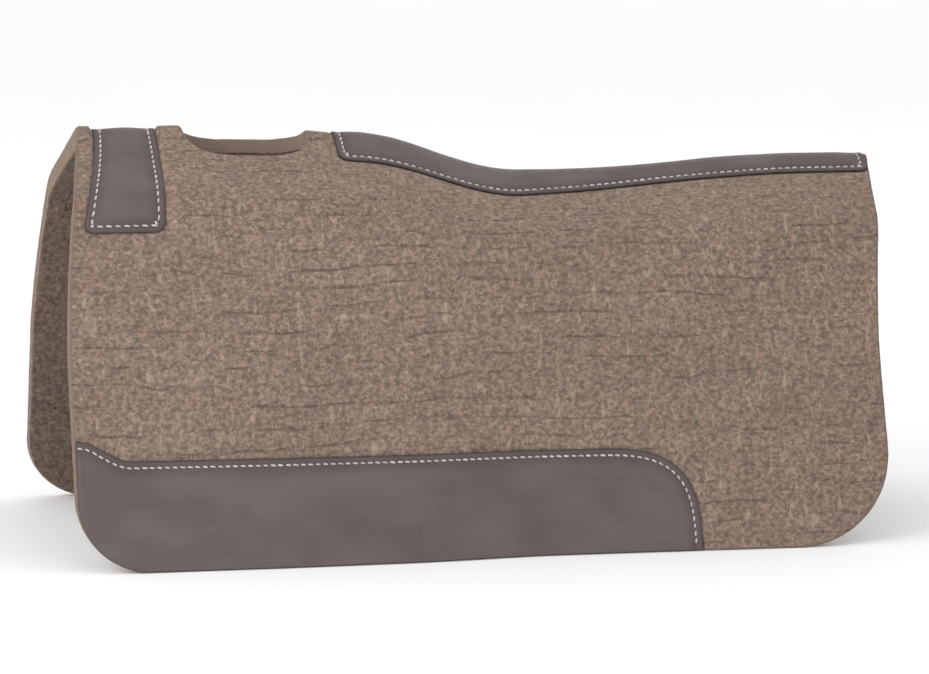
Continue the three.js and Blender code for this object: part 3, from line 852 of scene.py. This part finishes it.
def leather_skin(name, place, columns, rows, depth, flip):
    """A leather: a closed skin pressed into the felt, with its depth inside the edge marked on it."""
    base = LEATHER_GAP + LEATHER_THICKNESS - LEATHER_SINK
    made, x, girth, outer, inner, cut = closed_skin(
        name,
        place,
        columns,
        rows,
        edge_profile(LEATHER_THICKNESS, base, LEATHER_EDGE_ROUND, 5),
        (lambda x, g: leather_relief(depth(x, g), x, g), lambda x, g: withers_lift(x, g, 1)),
        LEATHER,
        flip,
    )
    point_values(made, "edge_depth", depth(x, girth))
    point_values(made, "cut_edge", np.clip(cut - 0.4, 0, 1) / 0.6)
    return made


def wither_strap():
    """The strap over the withers between its two swept edges, with rounded corners made by drawing each
    row's ends in by a quarter circle."""
    along = across_shares(2 * STRAP_HALF_LENGTH, STRAP_STEPS[0])
    across = across_shares(STRAP_REAR - STRAP_FRONT, STRAP_STEPS[1])

    def place(column, row, inset, lift):
        half = STRAP_HALF_LENGTH - inset
        girth = half * (2 * along[row] - 1)
        drawn = inset + corner_inset(half - np.abs(girth), STRAP_CORNER - inset)
        front, rear = strap_edges(girth)
        return front + drawn + across[column] * (rear - front - 2 * drawn), girth

    return leather_skin("wither_strap_leather", place, len(across), len(along), depth_in_strap, False)


def spine_strip():
    """The strip over the spine seam: it tapers towards the loin, with rounded corners."""
    along = across_shares(STRIP_END - STRIP_START, STRIP_STEPS[1])
    across = across_shares(2 * STRIP_REAR_HALF, STRIP_STEPS[0])

    def place(column, row, inset, lift):
        start, end = STRIP_START + inset, STRIP_END - inset
        x = start + along[column] * (end - start)
        drawn = inset + corner_inset(np.minimum(x - start, end - x), STRIP_CORNER - inset)
        return x, (strip_half(x) - drawn) * (2 * across[row] - 1)

    return leather_skin("spine_strip_leather", place, len(along), len(across), depth_in_strip, False)


WEAR_LOW_EDGE_STEPS = 40
WEAR_EDGE_STEP = 0.0028
WEAR_TOP_POINTS, WEAR_CORNER_POINTS, WEAR_FOOT_POINTS = 400, 200, 20
WEAR_FRONT_EASE = 0.03  # the way inwards turns straight down over this length at the front
WEAR_RIB_SETBACK = 0.07  # the last rib ends this far short of the rear on the lower edge
WEAR_RIB_CROWDING = 1.15  # and the ribs crowd towards the front by this power
WEAR_SEAM_END = 0.004  # the stitching stops this far above the hem


def wear_edge(inset):
    """The top and rear edge of a wear leather as one path at an even step, drawn in by inset: along the
    stepped top, round a quarter of a superellipse and down to the hem. Returns x, height above the hem, and
    the way inwards (dx, dh), square to the path."""
    corner = WEAR_REAR - WEAR_CORNER
    straight = np.linspace(WEAR_FRONT_SETBACK, corner, WEAR_TOP_POINTS)[:-1]
    turn = np.linspace(0, np.pi / 2, WEAR_CORNER_POINTS)
    power = 2 / WEAR_BLUNTNESS
    curve = corner + WEAR_CORNER * np.sin(turn) ** power
    fall = WEAR_FOOT + (wear_top(curve) - WEAR_FOOT) * np.abs(np.cos(turn)) ** power
    down = np.linspace(WEAR_FOOT, WEAR_HEM_GAP, WEAR_FOOT_POINTS)[1:]
    x = np.concatenate([straight, curve, np.full_like(down, WEAR_REAR)])
    h = np.concatenate([wear_top(straight), fall, down])
    run = np.concatenate([[0], np.cumsum(np.hypot(np.diff(x), np.diff(h)))])
    even = np.linspace(0, run[-1], round(run[-1] / WEAR_EDGE_STEP))
    x, h = np.interp(even, run, x), np.interp(even, run, h)
    ahead_x, ahead_h = np.gradient(x), np.gradient(h)
    step = np.hypot(ahead_x, ahead_h)
    dx, dh = ahead_h / step * smooth(x, 0, WEAR_FRONT_EASE), -ahead_x / step
    return x + dx * inset, h + dh * inset, dx, dh


def wear_leather(name, side):
    """A wear leather as a grid of ribs: each leaves the top and rear edge at right angles, through the
    margin, and then runs straight to its own place along the lower edge."""
    count = len(wear_edge(0.0)[0])
    deep = np.linspace(0, 1, WEAR_LOW_EDGE_STEPS)[1:]
    rows = len(MARGIN_STEPS) + len(deep)
    share_along = np.linspace(0, 1, count) ** WEAR_RIB_CROWDING

    def place(column, row, inset, lift):
        x, h, dx, dh = (part[column] for part in wear_edge(inset))
        margin = MARGIN_STEPS[np.minimum(row, len(MARGIN_STEPS) - 1)]
        x, h = x + dx * margin, h + dh * margin
        base = WEAR_FRONT_SETBACK + (WEAR_REAR - WEAR_RIB_SETBACK - WEAR_FRONT_SETBACK) * share_along[column]
        into = np.where(row < len(MARGIN_STEPS), 0, deep[np.maximum(row - len(MARGIN_STEPS), 0)])
        x, h = x + (base - x) * into, h + (WEAR_HEM_GAP + inset - h) * into
        reach = FRONT_CORNER_RADIUS - WEAR_FRONT_SETBACK - inset
        front = WEAR_FRONT_SETBACK + inset + corner_inset(h - inset, reach)
        x = front + (x - WEAR_FRONT_SETBACK) * (WEAR_REAR - front) / (WEAR_REAR - WEAR_FRONT_SETBACK)
        h = np.maximum(h, WEAR_HEM_GAP + inset)
        return x, side * (ground_girth(x, lift) - h)

    return leather_skin(name, place, count, rows, depth_in_wear, side == LEFT)


# ---- stitching

THREAD_WIDTH = 0.0020
SIDES = 6
RINGS = 7
STITCH_SLANT, STITCH_SLANT_SPREAD = 0.00035, 0.00008
STITCH_BOW, STITCH_DRAWN_IN, STITCH_BOW_POWER = 0.00055, 0.00130, 3.5
PLACE_SPREAD, LENGTH_SPREAD, WIDTH_SPREAD, LIFT_SPREAD = 0.00012, 0.05, 0.06, 0.00005
LOOP_POINTS, LOOP_CORNER_POINTS, JOIN_RINGS = 160, 7, 13
TOP_LIFT = LEATHER_GAP + LEATHER_THICKNESS - LEATHER_SINK - STITCH_GROOVE
UNDER_LIFT = -FELT_THICKNESS


def resampled(x, girth, lift, closed):
    """A path on the pad by its real length: returns (length, place) where place(s) gives x and girth."""
    if closed:
        x, girth = np.append(x, x[0]), np.append(girth, girth[0])
    points = on_pad(x, girth, lift)
    run = np.concatenate([[0], np.cumsum(np.linalg.norm(np.diff(points, axis=0), axis=1))])

    def place(s):
        s = s % run[-1] if closed else np.clip(s, 0, run[-1])
        return np.interp(s, run, x), np.interp(s, run, girth)

    return run[-1], place


def thread_lengths(name, x, girth, clearance, outward, tone, half_width):
    """Thread along rows of places (x, girth, clearance off a face), one row for each stitch: a ring of
    points round each place, square to the row, narrower and flatter towards the ends."""
    lift = np.where(outward > 0, TOP_LIFT + withers_lift(x, girth, 1), UNDER_LIFT) + outward * clearance
    centre = on_pad(x, girth, lift)
    ahead = np.gradient(centre, axis=1)
    ahead /= np.linalg.norm(ahead, axis=-1, keepdims=True)
    up = outward * (on_pad(x, girth, lift + 0.001) - on_pad(x, girth, lift))
    across = np.cross(ahead, up)
    across /= np.linalg.norm(across, axis=-1, keepdims=True)
    up = np.cross(across, ahead)
    stitches, rings = x.shape
    share = np.linspace(-1, 1, rings)
    round_off = (1 - 0.55 * np.abs(share) ** 5)[None, :, None]
    angle = np.linspace(0, 2 * np.pi, SIDES, endpoint=False)
    radius = half_width[:, None, None] * round_off
    points = (
        centre[:, :, None, :]
        + (radius * np.cos(angle))[..., None] * across[:, :, None, :]
        + (0.8 * radius * np.sin(angle))[..., None] * up[:, :, None, :]
    )
    index = np.arange(stitches * rings * SIDES).reshape(stitches, rings, SIDES)
    ahead_index = np.roll(index, -1, axis=2)
    walls = np.stack(
        [index[:, :-1], ahead_index[:, :-1], ahead_index[:, 1:], index[:, 1:]], axis=-1
    ).reshape(-1, 4)
    caps = np.concatenate([index[:, 0, ::-1], index[:, -1, :]])
    made = mesh_object(name, points.reshape(-1, 3), [walls[:, ::-1], caps[:, ::-1]], THREAD)
    length = np.cumsum(np.linalg.norm(np.diff(centre, axis=1, prepend=centre[:, :1]), axis=-1), axis=1)
    u = np.repeat(length[:, :, None], SIDES, axis=2)
    v = np.broadcast_to(np.arange(SIDES) / SIDES, u.shape)
    surface_map(made, "twist", u.ravel(), v.ravel())
    point_values(made, "tone", np.repeat(tone, rings * SIDES))
    return made


def sewn_seam(name, path, closed, pitch, length, seed, outward=1):
    """A seam of single stitches along a path: a whole number of them at an even pitch, each a little long or
    short, slanted across the path, bowed up in the middle and drawn into the surface at its ends."""
    x, girth = path
    total, place = resampled(x, girth, TOP_LIFT if outward > 0 else UNDER_LIFT, closed)
    count = int(round(total / pitch))
    chance = np.random.default_rng(seed)
    middle = (np.arange(count) + 0.5) * total / count + chance.normal(0, PLACE_SPREAD, count)
    half = length / 2 * (1 + chance.normal(0, LENGTH_SPREAD, count))
    share = np.linspace(-1, 1, RINGS)
    along_x, along_girth = place(middle[:, None] + half[:, None] * share)
    ahead_x, ahead_girth = place(middle + NEARBY)
    back_x, back_girth = place(middle - NEARBY)
    heading = np.stack([ahead_x - back_x, ahead_girth - back_girth], -1)
    heading /= np.linalg.norm(heading, axis=-1, keepdims=True)
    slant = (STITCH_SLANT + chance.normal(0, STITCH_SLANT_SPREAD, count))[:, None] * share
    along_x = along_x + heading[:, 1:] * slant
    along_girth = along_girth - heading[:, :1] * slant
    bow = STITCH_BOW - STITCH_DRAWN_IN * np.abs(share) ** STITCH_BOW_POWER
    clearance = np.broadcast_to(bow, along_x.shape) + chance.normal(0, LIFT_SPREAD, (count, 1))
    tone = np.clip(chance.normal(0.5, 0.25, count), 0, 1) if outward > 0 else np.full(count, -1.0)
    width = THREAD_WIDTH / 2 * (1 + chance.normal(0, WIDTH_SPREAD, count))
    return thread_lengths(name, along_x, along_girth, clearance, outward, tone, width)


def rounded_loop(front, rear, half, radius):
    """A loop of (x, girth) round a patch: front(girth) and rear(girth) are its ends and half(x) its half
    width, and its corners are cut by a radius."""
    steps = np.linspace(0, 1, LOOP_POINTS)
    turn = np.linspace(0, np.pi / 2, LOOP_CORNER_POINTS)
    corner = radius * (1 - np.cos(turn)), radius * (1 - np.sin(turn))
    x0, x1 = front(half(front(0.0))), rear(half(rear(0.0)))
    h0, h1 = half(x0), half(x1)
    side_x = x0 + radius + (x1 - x0 - 2 * radius) * steps
    end_girth = (h1 - radius) * (1 - 2 * steps)
    start_girth = (h0 - radius) * (2 * steps - 1)
    x = np.concatenate(
        [
            side_x,
            x1 - corner[1][::-1],
            rear(np.abs(end_girth)),
            x1 - corner[1],
            side_x[::-1],
            x0 + corner[1][::-1],
            front(np.abs(start_girth)),
            x0 + corner[1],
        ]
    )
    girth = np.concatenate(
        [
            half(side_x),
            h1 - corner[0],
            end_girth,
            -(h1 - corner[0][::-1]),
            -half(side_x[::-1]),
            -(h0 - corner[0]),
            start_girth,
            h0 - corner[0][::-1],
        ]
    )
    return x, girth


def strap_seam():
    """The seam round the wither strap, the stitch inset inside its edge."""
    return rounded_loop(
        lambda girth: strap_edges(girth)[0] + STITCH_INSET,
        lambda girth: strap_edges(girth)[1] - STITCH_INSET,
        lambda x: STRAP_HALF_LENGTH - STITCH_INSET + 0 * x,
        STRAP_CORNER - STITCH_INSET,
    )


def strip_seam():
    """The seam round the spine strip, the stitch inset inside its edge."""
    return rounded_loop(
        lambda girth: STRIP_START + STITCH_INSET + 0 * girth,
        lambda girth: STRIP_END - STITCH_INSET + 0 * girth,
        lambda x: strip_half(x) - STITCH_INSET,
        STRIP_CORNER - STITCH_INSET,
    )


def wear_seam(side):
    """The seam along the top and rear of a wear leather, the stitch inset inside its edge."""
    x, h, _, _ = wear_edge(STITCH_INSET)
    keep = h > WEAR_SEAM_END
    x, h = x[keep], h[keep]
    return x, side * (ground_girth(x, TOP_LIFT) - h)


def spine_join(name, start, end):
    """The zigzag that joins the felt halves from inside: one thread length for each crossing, from one half
    to the other and half a pitch on."""
    start, end = start + JOIN_MARGIN, end - JOIN_MARGIN
    count = int((end - start) / (JOIN_PITCH / 2))
    share = np.linspace(0, 1, JOIN_RINGS)
    number = np.arange(count)[:, None]
    x = start + (number + share) * (end - start) / count
    girth = JOIN_REACH * (2 * share - 1) * np.where(number % 2, -1, 1)
    clearance = 0.0006 - 0.0012 * np.abs(2 * share - 1) ** 8 + 0 * x
    tone, width = np.full(count, 0.5), np.full(count, THREAD_WIDTH / 2)
    return thread_lengths(name, x, girth, clearance, -1, tone, width)


# ---- the pad put together


def belongs(made, node, body=None):
    """The piece stands in for its CAD node, which is hidden, and rides on a body, or without one has its
    transform baked into its points."""
    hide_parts(node)
    if body:
        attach(made, body)
    else:
        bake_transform(made)
    return made


for flank, side in (("left", LEFT), ("right", RIGHT)):
    belongs(felt_half("felt_half_" + flank, side), "felt_" + flank)

def corners_cut(radius, count):
    """Area that this many rounded corners take off a sheet: each a square less a quarter circle."""
    return count * (1 - np.pi / 4) * radius**2


def strap_area():
    """Flat area of the wither strap: its mean width over its length, less four corners."""
    front, rear = strap_edges(np.linspace(-STRAP_HALF_LENGTH, STRAP_HALF_LENGTH, AREA_STEPS))
    return np.mean(rear - front) * 2 * STRAP_HALF_LENGTH - corners_cut(STRAP_CORNER, 4)


def strip_area():
    """Flat area of the spine strip: its mean width over its length, less four corners."""
    half = strip_half(np.linspace(STRIP_START, STRIP_END, AREA_STEPS))
    return 2 * np.mean(half) * (STRIP_END - STRIP_START) - corners_cut(STRIP_CORNER, 4)


AREA_STEPS = 400
WEAR_PITCH, WEAR_STITCH, WEAR_UNDER_STITCH = 0.0071, 0.0050, 0.0052
STRAP_PITCH, STRAP_STITCH = 0.0085, 0.0060
STRIP_PITCH, STRIP_STITCH = 0.0073, 0.0050

for flank, side, seed in (("left", LEFT, 61), ("right", RIGHT, 62)):
    body = flank + "_flank"
    node = "wear_leather_" + flank
    piece = belongs(wear_leather(node + "_skin", side), node, body)
    top = sewn_seam(node + "_stitches", wear_seam(side), False, WEAR_PITCH, WEAR_STITCH, seed)
    under_name = node + "_under_stitches"
    under = sewn_seam(under_name, wear_seam(side), False, WEAR_PITCH, WEAR_UNDER_STITCH, seed + 10, -1)
    belongs(top, node + "_thread", body)
    belongs(under, node + "_bobbin_thread", body)

STRAP_FLAT = (STRAP_REAR - STRAP_FRONT + STRAP_FRONT_SWEEP, 2 * STRAP_HALF_LENGTH)
STRIP_FLAT = (2 * STRIP_FRONT_HALF, STRIP_END - STRIP_START)
for node, make, seam, pitch, length, flat, area, seed in (
    ("wither_strap", wither_strap, strap_seam, STRAP_PITCH, STRAP_STITCH, STRAP_FLAT, strap_area(), 63),
    ("spine_strip", spine_strip, strip_seam, STRIP_PITCH, STRIP_STITCH, STRIP_FLAT, strip_area(), 64),
):
    piece = belongs(make(), node)
    top = sewn_seam(node + "_stitches", seam(), True, pitch, length, seed)
    belongs(top, node + "_thread")
    under = sewn_seam(node + "_under_stitches", seam(), True, pitch, length, seed + 10, -1)
    belongs(under, node + "_bobbin_thread")

for where, start, end in (
    ("front", FRONT_LEAN, VENT_START),
    ("rear", VENT_START + VENT_LENGTH, SPINE_END),
):
    belongs(spine_join("spine_join_zigzag_" + where, start, end), "spine_join_thread_" + where)

# ---- studio


def studio_floor():
    """A level sheet of studio paper, wide enough to reach past every view."""
    half = 30.0
    points = [(-half, -half, 0), (half, -half, 0), (half, half, 0), (-half, half, 0)]
    made = mesh_object("studio_floor", points, [np.array([[0, 1, 2, 3]])], floor_paper())
    made.location.z = -0.0002


def soft_light(name, place, target, width, height, power):
    """A soft box of this size at a place, turned to its target."""
    data = bpy.data.lights.new(name, "AREA")
    data.shape = "RECTANGLE"
    data.size, data.size_y, data.energy = width, height, power
    made = bpy.data.objects.new(name, data)
    made.location = place
    made.rotation_euler = (Vector(target) - Vector(place)).to_track_quat("-Z", "Y").to_euler()
    bpy.context.scene.collection.objects.link(made)


def studio_sky():
    """An even white surround."""
    world = bpy.data.worlds.new("white surround")
    world.use_nodes = True
    world.node_tree.nodes["Background"].inputs["Color"].default_value = (1, 1, 1, 1)
    world.node_tree.nodes["Background"].inputs["Strength"].default_value = 0.93
    bpy.context.scene.world = world


def camera():
    """A long lens on the left flank, a little ahead of it and a little above."""
    target = Vector((0.0013, 0.0, 0.1813))
    azimuth, elevation, distance = np.radians(-11.22), np.radians(7.52), 5.0009
    back = Vector(
        (
            np.sin(azimuth) * np.cos(elevation),
            -np.cos(azimuth) * np.cos(elevation),
            np.sin(elevation),
        )
    )
    data = bpy.data.cameras.new("camera")
    data.sensor_width, data.lens = 36.0, 198.2
    made = bpy.data.objects.new("camera", data)
    made.location = target + back * distance
    made.rotation_euler = (-back).to_track_quat("-Z", "Y").to_euler()
    bpy.context.scene.collection.objects.link(made)
    bpy.context.scene.camera = made


studio_floor()
studio_sky()
soft_light("front_box", (-1.8, -1.5, 1.2), (-0.15, 0, 0.2), 1.4, 1.0, 19)
soft_light("rear_box", (1.6, 3.0, 2.4), (0, 0, 0.2), 2.4, 1.8, 6)
camera()
bpy.context.scene.view_settings.view_transform = "Standard"
